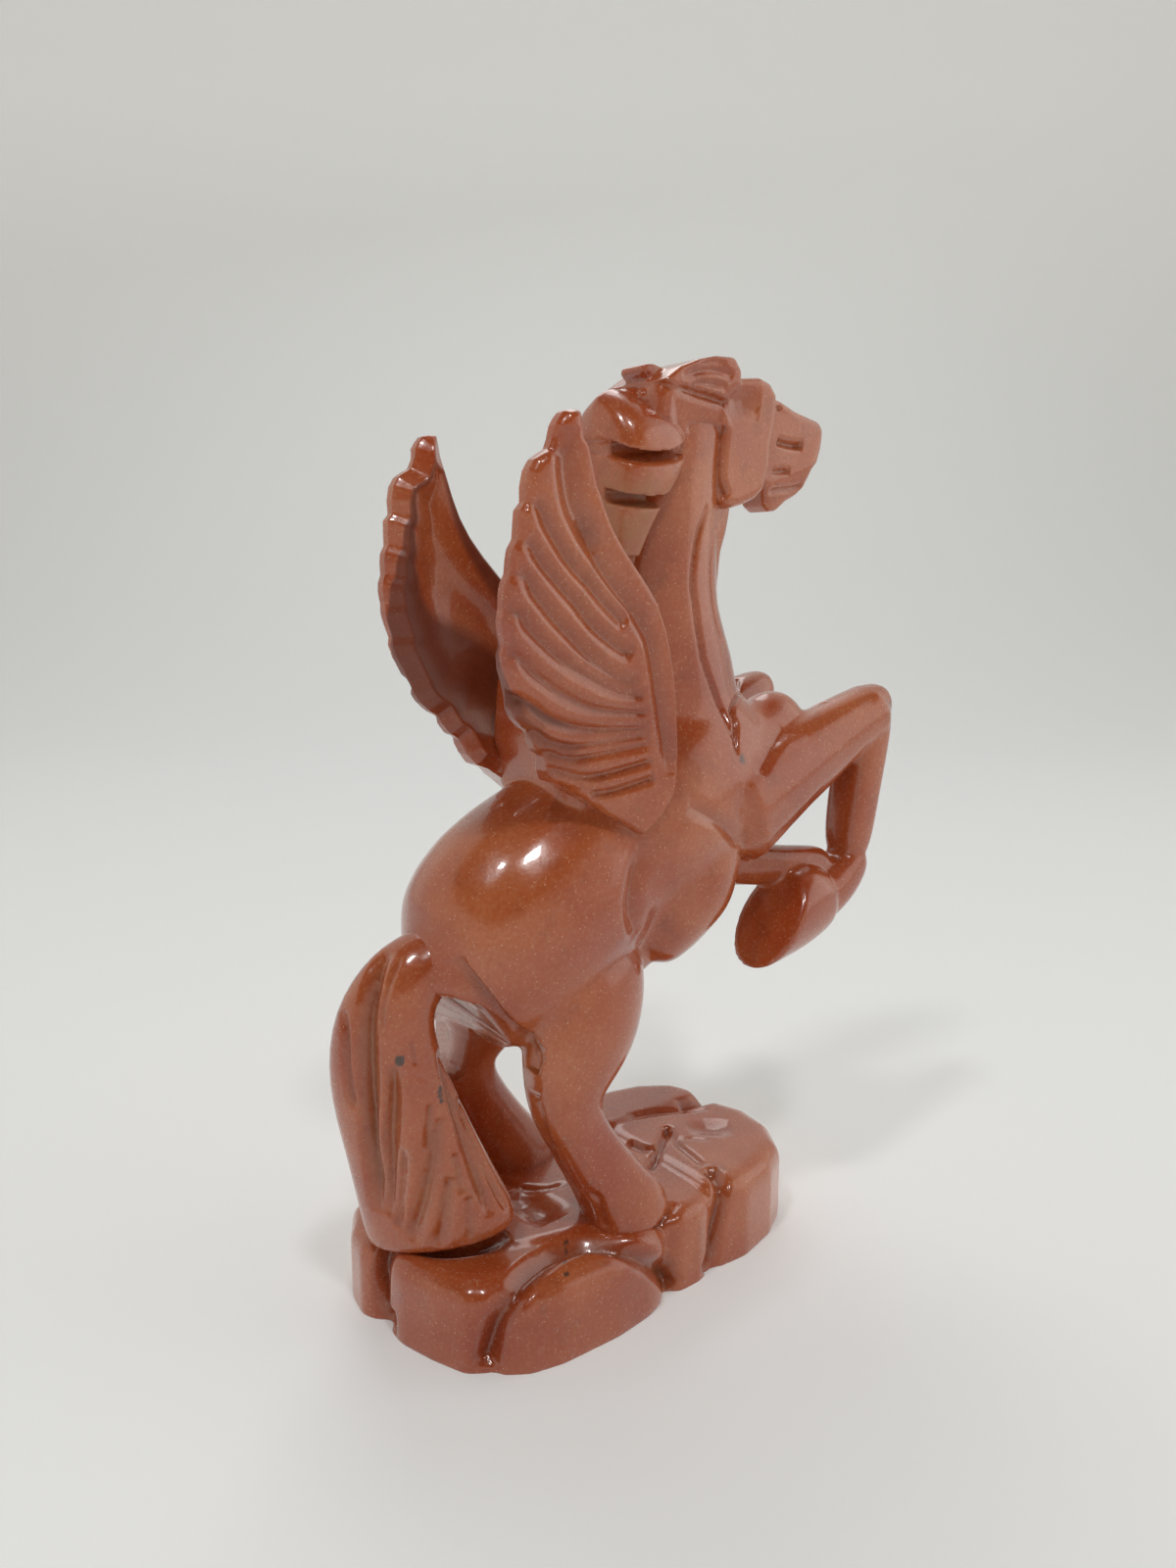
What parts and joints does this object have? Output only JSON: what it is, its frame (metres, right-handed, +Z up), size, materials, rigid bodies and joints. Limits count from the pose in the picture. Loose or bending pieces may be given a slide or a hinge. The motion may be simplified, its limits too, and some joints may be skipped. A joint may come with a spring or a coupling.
{
  "type": "winged horse stone carving",
  "caption": "Rearing winged horse carved in polished reddish stone on a rough rock base that stands on a shelf or table.",
  "frame": {"origin": "middle of the flat underside of the rock base", "axes": "+X the way the horse faces, +Y the horse's left, +Z up"},
  "size_m": [0.1378, 0.0602, 0.1991],
  "materials": {
    "polished_stone": "high polish",
    "weathered_stone": "polish over unpolished residue in the cuts",
    "rock_stone": "polished, with rough cuts"
  },
  "bodies": {
    "root": {"rock_base": "rock_stone", "barrel": "polished_stone", "hindquarters": "polished_stone", "neck": "polished_stone", "head": "polished_stone", "forelock": "polished_stone", "mane_lock_1": "weathered_stone", "mane_lock_2": "weathered_stone", "mane_lock_3": "weathered_stone", "mane_lock_4": "weathered_stone", "right_wing": "polished_stone", "left_wing": "polished_stone", "wing_saddle": "weathered_stone", "tail": "weathered_stone", "right_hind_leg": "polished_stone", "left_hind_leg": "polished_stone", "right_forearm": "polished_stone", "right_fore_shank": "polished_stone", "right_fore_hoof": "polished_stone", "left_forearm": "polished_stone", "left_fore_shank": "polished_stone", "left_fore_hoof": "polished_stone"}
  },
  "joints": []
}
